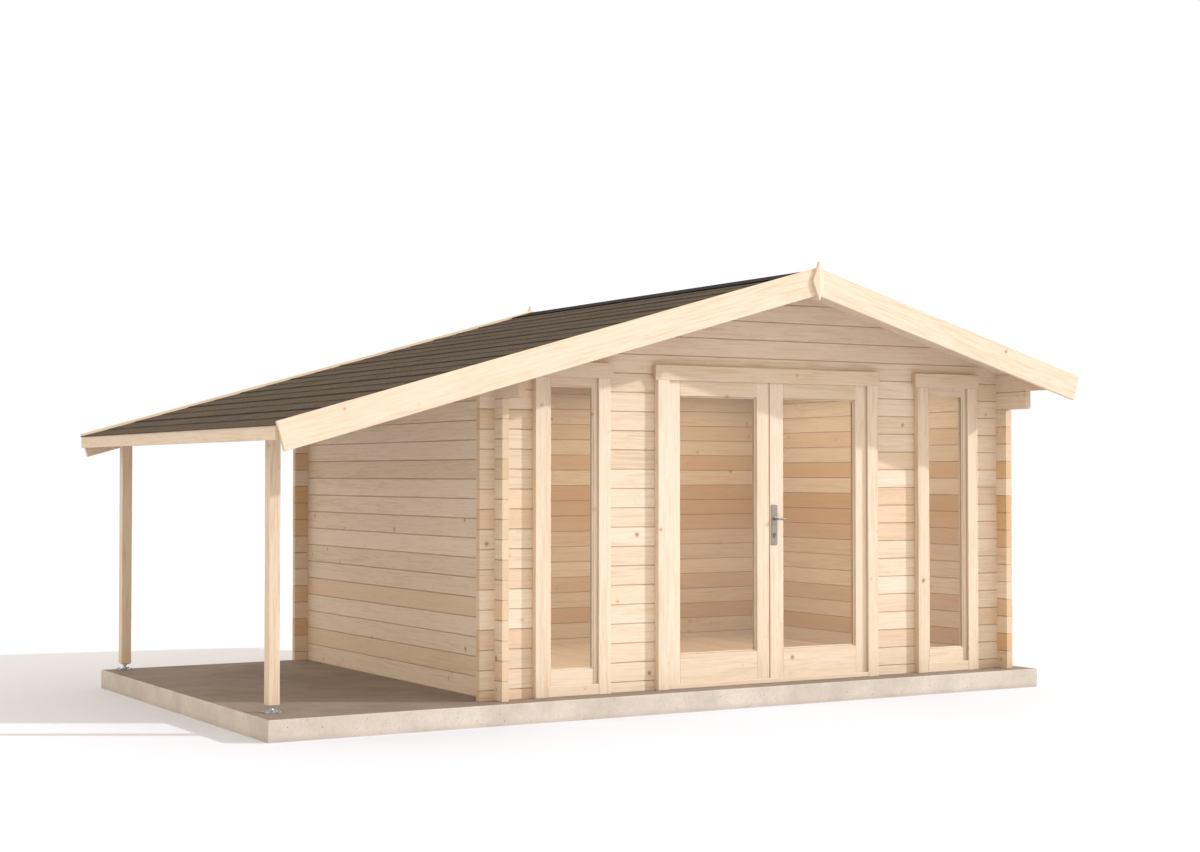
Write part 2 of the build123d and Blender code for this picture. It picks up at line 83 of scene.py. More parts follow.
# %% [markdown]
# ## Colours and nodes
# Paint and wood colours are known as sRGB hex values, but a shader works in linear light, so one function
# turns one into the other. A second function adds a node of any kind with its settings and its inputs. An
# input may be a number, a socket or a whole node, which then stands for its first output, so nodes can be
# nested like sums. A colour mix has its amount in socket 0 and its two colours in sockets 6 and 7.

# %% Colour and node helpers
MATH = "ShaderNodeMath"
VECTOR = "ShaderNodeVectorMath"
RANGE = "ShaderNodeMapRange"
MIX = "ShaderNodeMix"
NOISE = "ShaderNodeTexNoise"
CELLS = "ShaderNodeTexVoronoi"
SPLIT = "ShaderNodeSeparateXYZ"
SPLIT_COLOUR = "ShaderNodeSeparateColor"
COORDINATES = "ShaderNodeTexCoord"
SURFACE = "ShaderNodeBsdfPrincipled"
OUTPUT = "ShaderNodeOutputMaterial"


def colour(code):
    """Linear RGBA of an sRGB hex value."""
    parts = [int(code[place:place + 2], 16) / 255 for place in (0, 2, 4)]
    return [c / 12.92 if c <= 0.04045 else ((c + 0.055) / 1.055) ** 2.4 for c in parts] + [1]


def add(material, kind, inputs=(), **settings):
    """Adds a node with its settings, and sets or links its inputs, given in their order or by their key."""
    node = material.node_tree.nodes.new(kind)
    for name, value in settings.items():
        setattr(node, name, value)
    for key, value in inputs.items() if isinstance(inputs, dict) else enumerate(inputs):
        if isinstance(value, bpy.types.Node):
            value = next(socket for socket in value.outputs if socket.enabled)
        if isinstance(value, bpy.types.NodeSocket):
            material.node_tree.links.new(value, node.inputs[key])
        else:
            node.inputs[key].default_value = value
    return node


def new_material(name):
    """Empty node material."""
    material = bpy.data.materials.new(name)
    material.use_nodes = True
    material.node_tree.nodes.clear()
    return material


print("white in linear light:", colour("FFFFFF"))

# %% [markdown]
# ## Pine
# Logs, boards and doors are planed Nordic pine under a clear stain: pale straw wood with darker late-wood
# lines along the grain, small round knots with a brown ring, and a slightly different tone from one log to
# the next. Lines 14 mm apart are coarser than real late wood, because a view of the whole cabin would
# average finer ones out.

# %% Pine tones and sizes
log_height = 0.120
slab_top = 0.125
pine_tones = {
    "early": colour("E1D0BB"),
    "late": colour("C8A988"),
    "heartwood": colour("CEA677"),
    "knot": colour("8A6246"),
    "ring": colour("BE9B78"),
    "end": colour("CDB394"),
    # The joint tone is dust and painted shade in the groove between two logs.
    "joint": colour("7A5C42"),
}
late_spacing = 0.014
fibre_spacing = 0.0035
cloud_spacing = 0.11
lane_width = 0.31
grain_stretch = (1.0, 1.0, 0.045)
shift_reach = (3.0, 3.0, 7.0)
knot_cell = Vector((0.085, 0.085, 0.42))
knot_radius = (0.005, 0.013)
joint_hard, joint_soft = 0.0015, 0.0042
joint_strength = 0.40
print("pine tones:", ", ".join(pine_tones))

# %% [markdown]
# ### Grain and tone
# One function makes the wood for any direction of the grain. It turns the coordinates so that the grain runs
# along their Z, and then every pattern is stretched along it. Three whole numbers tell one log or board from
# the next, and white noise turns them into a random value, which sets the tone and where the pattern starts.

# %% Grain coordinates and the key of each log
def grain_coordinates(material, turn_axis, turn):
    """Object coordinates, then the same and the normal turned so that the grain runs along Z."""
    place = add(material, COORDINATES).outputs
    turned = []
    for source in (place["Object"], place["Normal"]):
        inputs = {"Vector": source, "Angle": turn}
        turned.append(add(material, "ShaderNodeVectorRotate", inputs, rotation_type=turn_axis))
    return place["Object"], *turned


def steps_from(material, value, start, step):
    """How many steps of a given width a coordinate lies beyond a start."""
    away = add(material, MATH, (value, start), operation="SUBTRACT")
    return add(material, MATH, (away, step), operation="DIVIDE")


def log_key(material, place, grain, course, section, start, board):
    """Three whole numbers that are the same all over one log, one board or one lane of the grain."""
    split = add(material, SPLIT, (place if course or board else grain,)).outputs
    if course:
        counted = ((split[2], course, log_height), (split[0], start, section))
        rest = (0.0,)
    elif board:
        counted = ((split[board[0]], 0.0, board[1]),)
        rest = (3.0, 1.0)
    else:
        counted = ((split[0], 0.0, lane_width), (split[1], 0.0, lane_width))
        rest = (2.0,)
    whole = [add(material, MATH, (steps_from(material, *item),), operation="FLOOR") for item in counted]
    return add(material, "ShaderNodeCombineXYZ", (*whole, *rest))


print("a log's tone changes every", log_height, "m, a plain board's every", lane_width, "m")

# %% Late wood and fibres
def grain_wood(material, own):
    """Straw wood with late-wood lines and fibres, and the two noises that draw them."""
    stretched = add(material, VECTOR, (own, grain_stretch), operation="MULTIPLY")
    lines = {"Vector": stretched, "Scale": 1 / late_spacing, "Detail": 3.0}
    figure = add(material, NOISE, {**lines, "Roughness": 0.6, "Distortion": 0.6})
    fibre = add(material, NOISE, {"Vector": stretched, "Scale": 1 / fibre_spacing, "Detail": 2.0})
    broad = add(material, NOISE, {"Vector": stretched, "Scale": 1 / cloud_spacing, "Detail": 2.0})
    late = add(material, RANGE, (figure, 0.46, 0.66, 0.0, 0.6))
    depth = add(material, RANGE, (broad, 0.35, 0.65, 0.35, 1.0))
    fine = add(material, RANGE, (fibre, 0.45, 0.70, 0.0, 0.22))
    wood = pine_tones["early"]
    for amount in (add(material, MATH, (late, depth), operation="MULTIPLY"), fine):
        wood = add(material, MIX, {0: amount, 6: wood, 7: pine_tones["late"]}, data_type="RGBA")
    return wood, figure, fibre


print("late-wood lines", late_spacing * 1000, "mm apart, fibres", fibre_spacing * 1000, "mm")

# %% [markdown]
# ### Knots, end grain and joints
# Knots come from Voronoi cells: the distance to the nearest cell point is measured in real metres, so knots
# stay round however long the cells are. A knot's heart is 10 to 26 mm across, and its brown ring twice as
# wide. A joint between two logs is found from the height alone, and gets a line about 6 mm wide, partly
# dust and partly painted shade of the groove.

# %% Knots
def knot_distance(material, own):
    """Distance in metres to the nearest knot's middle, and a random value for that knot."""
    narrow = tuple(1 / size for size in knot_cell)
    wide = add(material, VECTOR, (own, narrow), operation="MULTIPLY")
    cells = add(material, CELLS, {"Vector": wide, "Scale": 1.0, "Randomness": 0.9})
    gap = add(material, VECTOR, (wide, cells.outputs["Position"]), operation="SUBTRACT")
    real = add(material, VECTOR, (gap, tuple(knot_cell)), operation="MULTIPLY")
    distance = add(material, VECTOR, (real,), operation="LENGTH")
    return distance, add(material, SPLIT_COLOUR, (cells.outputs["Color"],))


def with_knots(material, wood, own):
    """Lays round knots over the wood, each with a brown ring."""
    distance, chance = knot_distance(material, own)
    size = add(material, RANGE, (chance, 0.0, 1.0, *knot_radius))
    reach = add(material, MATH, (distance, size), operation="DIVIDE")
    strong = add(material, RANGE, (chance, 0.45, 1.0, 0.15, 0.75))
    for tone, edge, share in (("ring", (1.0, 2.1), 0.7), ("knot", (0.75, 1.0), 1.0)):
        inside = add(material, RANGE, (reach, *edge, share, 0.0))
        amount = add(material, MATH, (inside, strong), operation="MULTIPLY")
        wood = add(material, MIX, {0: amount, 6: wood, 7: pine_tones[tone]}, data_type="RGBA")
    return wood


print("knot cells:", knot_cell[:])

# %% End grain, tone and joint line
def with_end_grain(material, wood, normal):
    """Deepens the tone where the surface faces along the grain."""
    along = add(material, SPLIT, (normal,)).outputs[2]
    facing = add(material, MATH, (along,), operation="ABSOLUTE")
    amount = add(material, RANGE, (facing, 0.80, 0.95, 0.0, 0.6))
    return add(material, MIX, {0: amount, 6: wood, 7: pine_tones["end"]}, data_type="RGBA")


def with_own_tone(material, wood, tone, heart_share):
    """Makes some logs warm heartwood, and each log up to 10 percent darker or 4 percent lighter."""
    share = add(material, SPLIT_COLOUR, (tone.outputs["Color"],)).outputs[1]
    amount = add(material, RANGE, (share, 0.55, 0.95, 0.0, heart_share))
    return add(material, "ShaderNodeHueSaturation", {
        "Color": add(material, MIX, {0: amount, 6: wood, 7: pine_tones["heartwood"]}, data_type="RGBA"),
        "Saturation": add(material, RANGE, (tone, 0.0, 1.0, 0.92, 1.12)),
        "Value": add(material, RANGE, (tone, 0.0, 1.0, 1.04, 0.90)),
    })


def with_joint_dust_and_shade(material, wood, place, course):
    """Darkens a narrow line at each joint between two logs: dust, and painted shade of the groove."""
    height = add(material, SPLIT, (place,)).outputs[2]
    phase = add(material, MATH, (steps_from(material, height, course, log_height),), operation="FRACT")
    lean = add(material, MATH, (phase, 0.5), operation="SUBTRACT")
    off = add(material, MATH, (lean,), operation="ABSOLUTE")
    edge = [0.5 - reach / log_height for reach in (joint_soft, joint_hard)]
    amount = add(material, RANGE, (off, *edge, 0.0, joint_strength))
    return add(material, MIX, {0: amount, 6: wood, 7: pine_tones["joint"]}, data_type="RGBA")


print("joint line", 2000 * joint_hard, "to", 2000 * joint_soft, "mm wide")

# %% Pine material
def pine(
        name, turn_axis="Z_AXIS", turn=0.0, course=None, section=100.0, start=0.0, board=None,
        heart_share=0.0):
    """Pine whose grain runs along Z once turned.

    course is the height of a joint between logs, section the length after which the logs' tone changes,
    start where the first section begins, board the axis and width of boards that differ in tone, and
    heart_share how strongly the heartwood shows.
    """
    material = new_material(name)
    place, grain, normal = grain_coordinates(material, turn_axis, turn)
    key = log_key(material, place, grain, course, section, start, board)
    tone = add(material, "ShaderNodeTexWhiteNoise", (key,), noise_dimensions="3D")
    shift = add(material, VECTOR, (tone.outputs["Color"], shift_reach), operation="MULTIPLY")
    own = add(material, VECTOR, (grain, shift), operation="ADD")
    wood, figure, fibre = grain_wood(material, own)
    wood = with_knots(material, wood, own)
    wood = with_end_grain(material, wood, normal)
    wood = with_own_tone(material, wood, tone, heart_share)
    if course:
        wood = with_joint_dust_and_shade(material, wood, place, course)
    surface = add(material, SURFACE, {
        "Base Color": wood,
        "Roughness": add(material, RANGE, (fibre, 0.3, 0.7, 0.52, 0.66)),
        "IOR": 1.5,
        "Normal": add(material, "ShaderNodeBump", {"Strength": 0.25, "Distance": 0.0012, "Height": figure}),
    })
    add(material, OUTPUT, (surface,))
    return material


upright_pine = pine("pine_upright")
print("nodes in the upright pine:", len(upright_pine.node_tree.nodes))

# %% [markdown]
# ### The pines
# Walls need the joint lines and one tone a log. The front logs are cut by the openings, so their tone
# changes there too. Boards that lie along the roof need the roof's slope in the turn.

# %% Eleven pines
quarter = math.radians(90)
pitch = math.radians(15.8)
front_joint = slab_top + log_height / 2
window_x = 1.480
gable_start = -50.0
deck_tone, floor_tone = (1, 0.0959), (0, 0.095)
pines = {
    "front logs": pine(
        "pine_front_logs", "Y_AXIS", quarter, course=front_joint, section=window_x, heart_share=0.25),
    "gable logs": pine(
        "pine_gable_logs", "Y_AXIS", quarter, course=front_joint, start=gable_start, heart_share=0.60),
    "side logs": pine("pine_side_logs", "X_AXIS", quarter, course=slab_top, heart_share=0.70),
    "along x": pine("pine_along_x", "Y_AXIS", quarter),
    "along y": pine("pine_along_y", "X_AXIS", quarter),
    "upright": upright_pine,
    "floor": pine("pine_floor", "X_AXIS", quarter, board=floor_tone),
    "left slope": pine("pine_left_slope", "Y_AXIS", quarter + pitch),
    "right slope": pine("pine_right_slope", "Y_AXIS", quarter - pitch),
    "left deck": pine("pine_left_deck", "Y_AXIS", quarter + pitch, board=deck_tone),
    "right deck": pine("pine_right_deck", "Y_AXIS", quarter - pitch, board=deck_tone),
}
print("pine materials:", len(pines))

# %% [markdown]
# ## Bitumen felt
# The roof is covered with mineral-faced bitumen felt in courses: crushed slate pressed into tar, so it is
# matt, grey-brown and grainy. The grit is about 2 mm, drawn here at 9 mm because finer grains would average
# out. Weather has left broad, weak patches, drawn out down the slope. The top of each course, some 30 mm
# just below the next strip's edge, is painted dark as the shade of that edge, and more so below every
# second edge, where a whole sheet ends.

# %% Shade below the felt's edges
course_step = 0.195
grit_size = 0.009
patch_size = 0.22
shade_band = (0.80, 0.86)
shade_strength = (0.55, 0.97)


def edge_shade(material, place, eave):
    """How much painted shade darkens the felt below the edges of its courses."""
    out = add(material, MATH, (add(material, SPLIT, (place,)),), operation="ABSOLUTE")
    below = add(material, MATH, (eave, out), operation="SUBTRACT")
    courses = add(material, MATH, (below, course_step), operation="DIVIDE")
    whole = add(material, MATH, (courses,), operation="FLOOR")
    half = add(material, MATH, (whole, 0.5), operation="MULTIPLY")
    second = add(material, MATH, (half,), operation="FRACT")
    band = add(material, RANGE, (add(material, MATH, (courses,), operation="FRACT"), *shade_band))
    strength = add(material, RANGE, (second, 0.2, 0.3, *shade_strength))
    return add(material, MATH, (band, strength), operation="MULTIPLY")


print("a felt course is", course_step, "m, its shade from", shade_band[0], "to the next edge")

# %% Felt material
slope_tones = ("584B3C", "7A6A56", "493F35")
grit_hollow, edge_shade_tone = "2E2824", "1D1916"


def felt(name, base, light, dark, eave=None):
    """Mineral felt with grit and patches, and with shaded courses where its eave is given."""
    material = new_material(name)
    place = add(material, COORDINATES).outputs["Object"]
    grit = add(material, CELLS, {"Vector": place, "Scale": 1 / grit_size})
    speck = add(material, SPLIT_COLOUR, (grit.outputs["Color"],))
    down = add(material, VECTOR, (place, (0.25, 1.0, 1.0)), operation="MULTIPLY")
    patch = add(material, NOISE, {"Vector": down, "Scale": 1 / patch_size, "Detail": 4.0, "Roughness": 0.6})
    layers = [
        (add(material, RANGE, (patch, 0.35, 0.65)), dark),
        (add(material, RANGE, (speck, 0.72, 0.98, 0.0, 0.6)), light),
        (add(material, RANGE, (speck, 0.0, 0.22, 0.45, 0.0)), grit_hollow),
    ]
    # With an eave given, a band of painted shade lies below each course's edge.
    if eave:
        layers.append((edge_shade(material, place, eave), edge_shade_tone))
    tone = colour(base)
    for amount, code in layers:
        tone = add(material, MIX, {0: amount, 6: tone, 7: colour(code)}, data_type="RGBA")
    surface = add(material, SURFACE, {
        "Base Color": tone,
        "Roughness": add(material, RANGE, (speck, 0.0, 1.0, 0.82, 0.95)),
        "Specular IOR Level": 0.1,
        "Normal": add(material, "ShaderNodeBump", {"Strength": 0.5, "Distance": 0.0015, "Height": grit}),
    })
    add(material, OUTPUT, (surface,))
    return material


slope_felt = {
    "left": felt("mineral_felt_left", *slope_tones, eave=-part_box("roof_covering_left")[0].x),
    "right": felt("mineral_felt_right", *slope_tones, eave=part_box("roof_covering_right")[1].x),
}
ridge_felt = felt("ridge_felt", "26221F", "3A3531", "1C1917")
print("felt materials:", [material.name for material in slope_felt.values()], ridge_felt.name)

# %% [markdown]
# ## Concrete
# The slab is poured concrete, struck off on top and cast against boards at its sides: pale grey with a warm
# cast, cloudy patches where the mix was wetter, small air holes painted darker as the shade in them, and a
# faint darker band along its lowest 35 mm. Clouds are Noise at 0.3 m, air holes are Voronoi cells 30 mm
# apart of which few are deep enough to show. The top is darker than the sides, as painted shade.

# %% Concrete material
cloud_size = 0.30
sand_size = 0.012
hole_spacing = 0.030
low_band_height = 0.035


def concrete(name):
    """Board-cast concrete with a top darkened as painted shade."""
    material = new_material(name)
    coordinates = add(material, COORDINATES).outputs
    place = coordinates["Object"]
    height = add(material, SPLIT, (place,)).outputs[2]
    upward = add(material, SPLIT, (coordinates["Normal"],)).outputs[2]
    clouds = {"Vector": place, "Scale": 1 / cloud_size, "Detail": 5.0, "Roughness": 0.62}
    cloud = add(material, NOISE, clouds)
    sand = add(material, NOISE, {"Vector": place, "Scale": 1 / sand_size, "Detail": 3.0})
    holes = add(material, CELLS, {"Vector": place, "Scale": 1 / hole_spacing})
    deep = add(material, SPLIT_COLOUR, (holes.outputs["Color"],))
    hollow = add(material, RANGE, (holes, 0.10, 0.18, 1.0, 0.0))
    pit = add(material, MATH, (hollow, add(material, RANGE, (deep, 0.72, 0.76))), operation="MULTIPLY")
    tone = colour("D0C8BE")
    for amount, code, mode in (
        (add(material, RANGE, (cloud, 0.36, 0.66)), "BCB3A9", "MIX"),
        (add(material, RANGE, (sand, 0.40, 0.70, 0.0, 0.25)), "A3978A", "MIX"),
        # The lowest 35 mm grow darker towards the ground.
        (add(material, RANGE, (height, 0.0, low_band_height, 0.35, 0.0)), "94877A", "MIX"),
        # Air holes are painted darker, as the shade inside them.
        (add(material, MATH, (pit, 0.6), operation="MULTIPLY"), "6F655B", "MIX"),
        # The top is painted darker, as shade.
        (add(material, RANGE, (upward, 0.80, 0.98, 0.0, 0.80)), "9C8D84", "MULTIPLY"),
    ):
        tone = add(material, MIX, {0: amount, 6: tone, 7: colour(code)}, data_type="RGBA", blend_type=mode)
    relief = add(material, MATH, (sand, pit), operation="SUBTRACT")
    surface = add(material, SURFACE, {
        "Base Color": tone,
        "Roughness": add(material, RANGE, (cloud, 0.3, 0.7, 0.78, 0.90)),
        "Normal": add(material, "ShaderNodeBump", {"Strength": 0.4, "Distance": 0.0015, "Height": relief}),
    })
    add(material, OUTPUT, (surface,))
    return material


slab_concrete = concrete("cast_concrete")
print("concrete:", slab_concrete.name)

# %% [markdown]
# ## Metals
# The post feet are hot-dip galvanised steel, whose zinc freezes in crystals about 15 mm wide that each
# reflect differently. The hinges are bright zinc-plated steel and the door furniture is brushed stainless
# steel, whose brushing lines are far finer than the view, so they are drawn 1.5 mm apart.

# %% Metal materials
brush_spacing = 0.0015


def metal(name, pattern, first, second, roughness):
    """Metal whose tone and roughness follow a pattern. roughness is a range of it and what that maps to."""
    material = new_material(name)
    value = pattern(material, add(material, COORDINATES).outputs["Object"])
    surface = add(material, SURFACE, {
        "Base Color": add(material, MIX, {0: value, 6: colour(first), 7: colour(second)}, data_type="RGBA"),
        "Metallic": 1.0,
        "Roughness": add(material, RANGE, (value, *roughness)),
    })
    add(material, OUTPUT, (surface,))
    return material


def zinc(name, crystal):
    """Zinc-coated steel with crystals of a given width."""
    def flakes(material, place):
        cells = add(material, CELLS, {"Vector": place, "Scale": 1 / crystal})
        return add(material, SPLIT_COLOUR, (cells.outputs["Color"],))
    return metal(name, flakes, "AEB2B4", "C9CCCC", (0.0, 1.0, 0.36, 0.52))


def brushed_steel(name, stretch):
    """Brushed stainless steel, its lines drawn out along one axis."""
    def scratches(material, place):
        lines = add(material, VECTOR, (place, stretch), operation="MULTIPLY")
        return add(material, NOISE, {"Vector": lines, "Scale": 1 / brush_spacing, "Detail": 2.0})
    return metal(name, scratches, "8C8880", "A8A49C", (0.3, 0.7, 0.28, 0.42))


galvanised = zinc("galvanised_steel", 0.015)
bright_zinc = zinc("zinc_plated_steel", 0.004)
steel_plate = brushed_steel("brushed_steel_upright", (1.0, 1.0, 0.03))
steel_lever = brushed_steel("brushed_steel_level", (0.03, 1.0, 1.0))
print("metals:", galvanised.name, bright_zinc.name, steel_plate.name, steel_lever.name)

# %% [markdown]
# ## Glass
# The panes are clear float glass with smooth faces. A path-traced pane would keep the lamps out of the room,
# so rays from lamps pass it straight, as they nearly do through a real thin pane. A trace of dust, a few
# percent in broad clouds, keeps the pane from being a perfect mirror.

# %% Glass material
def float_glass(name, dust_size=0.25):
    """Clear pane that lets lamp light through."""
    material = new_material(name)
    place = add(material, COORDINATES).outputs["Object"]
    dust = add(material, NOISE, {"Vector": place, "Scale": 1 / dust_size, "Detail": 3.0})
    tone = add(material, MIX, {0: dust, 6: colour("FBFDFB"), 7: colour("F3F7F5")}, data_type="RGBA")
    pane = add(material, SURFACE, {
        "Base Color": tone,
        "Roughness": add(material, RANGE, (dust, 0.4, 0.8, 0.0, 0.03)),
        "IOR": 1.5,
        "Transmission Weight": 1.0,
    })
    clear = add(material, "ShaderNodeBsdfTransparent", {"Color": colour("F4F8F6")})
    shadow = add(material, "ShaderNodeLightPath").outputs["Is Shadow Ray"]
    add(material, OUTPUT, (add(material, "ShaderNodeMixShader", (shadow, pane, clear)),))
    return material


pane_glass = float_glass("float_glass")
print("glass:", pane_glass.name)

# %% [markdown]
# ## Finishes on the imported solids
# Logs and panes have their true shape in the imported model, grooves and notches included, so they keep their
# mesh and only take a material. Each material slot of the object is simply set to it.

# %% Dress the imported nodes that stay
def dress(nodes, material):
    """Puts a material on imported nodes."""
    for name in nodes:
        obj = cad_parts[name]
        for place in obj.material_slots:
            place.material = material


front_runs = [f"front_wall_{run}" for run in ("left", "mid_left", "mid_right", "right")]
dress(front_runs, pines["front logs"])
dress(["front_gable", "rear_wall"], pines["gable logs"])
dress(["left_wall", "right_wall", "left_purlin_logs", "right_purlin_logs"], pines["side logs"])
dress(["concrete_slab"], slab_concrete)
dress(["ridge_cap"], ridge_felt)
dress(["left_door_glass", "right_door_glass", "window_glass"], pane_glass)

# %% [markdown]
# ## Boards
# Nearly everything else is a board: planed timber with its long edges eased by a plane or sandpaper. A board
# could be a scaled cube, but a dead sharp edge never catches the light. Here a cube from the mesh tools is
# moved to its place and its edges are bevelled by a real width, so that each board has a thin bright edge.
# All boards of one piece share one mesh. What isn't a box is a flat outline swept straight along an axis.

# %% Pieces and their edges
eased_metal, eased_thin, eased_little, eased, eased_well = 0.0006, 0.0010, 0.0015, 0.0020, 0.0030


def corners(node):
    """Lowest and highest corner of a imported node."""
    low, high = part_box(node)
    return low.copy(), high.copy()


def mesh_piece(bm, name, materials, node, body="cabin"):
    """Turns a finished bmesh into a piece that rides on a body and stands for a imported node."""
    bmesh.ops.remove_doubles(bm, verts=bm.verts, dist=1e-6)
    bmesh.ops.recalc_face_normals(bm, faces=bm.faces)
    mesh = bpy.data.meshes.new(name)
    bm.to_mesh(mesh)
    bm.free()
    for material in materials:
        mesh.materials.append(material)
    obj = bpy.data.objects.new(name, mesh)
    bpy.context.scene.collection.objects.link(obj)
    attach(obj, body)
    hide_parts(node)


def join(bm, part, material=0):
    """Moves a finished part's mesh into a piece's mesh."""
    for face in part.faces:
        face.material_index = material
    mesh = bpy.data.meshes.new("part")
    part.to_mesh(mesh)
    part.free()
    bm.from_mesh(mesh)
    bpy.data.meshes.remove(mesh)


def ease(bm, edges, width, segments=1):
    """Bevels edges by a width."""
    bmesh.ops.bevel(
        bm, geom=list(edges), offset=width, offset_type="OFFSET", segments=segments, profile=0.5,
        affect="EDGES", material=-1)


print("slab from", corners("concrete_slab")[0][:], "to", corners("concrete_slab")[1][:])

# %% Boxes and outlines
def box(low, high):
    """A sharp box between two corners, in a mesh of its own."""
    low, high = Vector(low), Vector(high)
    part = bmesh.new()
    bmesh.ops.create_cube(part, size=1)
    bmesh.ops.scale(part, vec=high - low, verts=part.verts)
    bmesh.ops.translate(part, vec=(low + high) / 2, verts=part.verts)
    return part


def board(bm, low, high, easing=eased, material=0):
    """Adds a board between two corners, all its edges eased."""
    part = box(low, high)
    if easing:
        ease(part, part.edges, easing)
    join(bm, part, material)


def grown(part, faces, step):
    """Extrudes faces by a step and returns the new end face."""
    new = bmesh.ops.extrude_face_region(part, geom=faces)["geom"]
    bmesh.ops.translate(part, vec=step, verts=[item for item in new if isinstance(item, bmesh.types.BMVert)])
    return [item for item in new if isinstance(item, bmesh.types.BMFace)]


def sweep(outline, start, length):
    """A sharp solid swept along Y from an outline of (x, z) points, in a mesh of its own."""
    part = bmesh.new()
    face = part.faces.new([part.verts.new((x, start, z)) for x, z in outline])
    grown(part, [face], (0, length, 0))
    bmesh.ops.recalc_face_normals(part, faces=part.faces)
    return part


def long_piece(name, node, outline, material, easing):
    """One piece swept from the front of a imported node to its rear."""
    low, high = corners(node)
    part = sweep(outline, low.y, high.y - low.y)
    ease(part, part.edges, easing)
    bm = bmesh.new()
    join(bm, part)
    mesh_piece(bm, name, [material], node)


print("easings:", eased_metal, eased_thin, eased_little, eased, eased_well)

# %% [markdown]
# ## Roof deck
# The roof is boarded from ridge to eave with tongued and grooved boards about 96 mm wide, lying across the
# purlins. Their lower long edges are planed off, so the underside, which is the ceiling of the side store,
# shows a V at each joint. Every board is one sloping outline swept across the roof by a board's width, and
# the loop lays them side by side.

# %% Roof boards
sides = ((-1, "left"), (1, "right"))
plate_top = 2.165
wall_half = 2.0
deck_boards = 39


def underside(x):
    """Height of the roof boards' lower face at a distance from the ridge."""
    return plate_top + (wall_half - abs(x)) * math.tan(pitch)


def lies_under(edge):
    """Whether an edge runs along the slope in the lower face of the roof boards."""
    first, second = (vert.co for vert in edge.verts)
    touches = all(abs(point.z - underside(point.x)) < 1e-5 for point in (first, second))
    return touches and abs(first.x - second.x) > 0.1


for side, name in sides:
    low, high = corners(f"roof_boards_{name}")
    eave = low.x if side < 0 else high.x
    width = (high.y - low.y) / deck_boards
    rise = high.z - underside(0)
    outline = [(0, underside(0)), (eave, underside(eave)), (eave, underside(eave) + rise), (0, high.z)]
    bm = bmesh.new()
    for index in range(deck_boards):
        part = sweep(outline, low.y + index * width, width)
        ease(part, [edge for edge in part.edges if lies_under(edge)], eased_well)
        join(bm, part)
    mesh_piece(bm, f"deck_{name}", [pines[f"{name} deck"]], f"roof_boards_{name}")
thickness = rise * math.cos(pitch)
print("deck boards", round(width * 1000, 1), "mm wide,", round(thickness * 1000, 1), "mm thick")

# %% [markdown]
# ## Felt courses
# The felt is laid in strips from the eave up, each over the top of the one below. Seen low, each lower edge
# shows as a thin dark line, stronger at every second one, where a full sheet ends. The courses are strips
# with a wedge-shaped section: thick at the lower edge, and running in under the next strip at the upper
# edge.

# %% Roof covering
sheet_edge = 0.0052
strip_edge = 0.0034
upper_edge = 0.0010
last_strip = 0.02


def felt_course(bm, side, upper, lower, y_low, y_high, base, edge):
    """One strip between two distances from the ridge, lying on a base and as thick as its lower edge."""
    outline = [
        (side * upper, underside(upper) + base),
        (side * lower, underside(lower) + base),
        (side * lower, underside(lower) + base + edge),
        (side * upper, underside(upper) + base + upper_edge),
    ]
    part = sweep(outline, y_low, y_high - y_low)
    ease(part, part.edges, eased_metal)
    join(bm, part)


for side, name in sides:
    low, high = corners(f"roof_covering_{name}")
    lower = -low.x if side < 0 else high.x
    base = corners(f"roof_boards_{name}")[1].z - underside(0)
    top = high.z - underside(0) - base
    bm = bmesh.new()
    courses = 0
    while lower > last_strip:
        upper = max(lower - course_step, 0.0)
        edge = min(sheet_edge if courses % 2 == 0 else strip_edge, top)
        felt_course(bm, side, upper, lower, low.y, high.y, base, edge)
        lower = upper
        courses += 1
    mesh_piece(bm, f"felt_{name}", [slope_felt[name]], f"roof_covering_{name}")
print("felt courses on the right slope:", courses)

# %% [markdown]
# ## Bargeboards, finials and fascias
# The bargeboards close the roof's edges at both gables. Each is one wide board along the slope, cut plumb at
# the ridge and square at the eave. They meet under a rhombic finial board. The fascias are upright boards
# along the eaves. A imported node's corners say how far each outline reaches and how far it is swept.

# %% Barges, finials, fascias
barge_width = 0.168
barge_top = 0.041014
barge_easing = 0.0025
trim_thickness = 0.020
deck_thickness = 0.019


def barge_outline(side, eave):
    """Outline of a bargeboard, from the ridge out to an eave."""
    end_x = eave - barge_width * math.sin(pitch)
    end_z = underside(eave) + barge_top - barge_width * math.cos(pitch)
    return [
        (0, underside(0) + barge_top),
        (side * eave, underside(eave) + barge_top),
        (side * end_x, end_z),
        (0, underside(0) + barge_top - barge_width / math.cos(pitch)),
    ]


for side, slope in sides:
    for end in ("front", "rear"):
        node = f"{end}_barge_{slope}"
        low, high = corners(node)
        outline = barge_outline(side, -low.x if side < 0 else high.x)
        long_piece(f"board_{node}", node, outline, pines[f"{slope} slope"], barge_easing)

low, high = corners("finials")
middle = (low.z + high.z) / 2
bm = bmesh.new()
for y in (low.y, high.y - trim_thickness):
    part = sweep([(0, low.z), (high.x, middle), (0, high.z), (low.x, middle)], y, trim_thickness)
    ease(part, part.edges, barge_easing)
    join(bm, part)
mesh_piece(bm, "finial_boards", [pines["upright"]], "finials")

for side, name in sides:
    node = f"{name}_fascia"
    low, high = corners(node)
    outer = low.x if side < 0 else high.x
    inner = outer - side * trim_thickness
    rise = deck_thickness / math.cos(pitch)
    outline = [(outer, low.z), (inner, low.z)] + [(x, underside(x) + rise) for x in (inner, outer)]
    long_piece(f"board_{node}", node, outline, pines["along y"], eased)
print("fascia length", round(high.y - low.y, 3), "m")

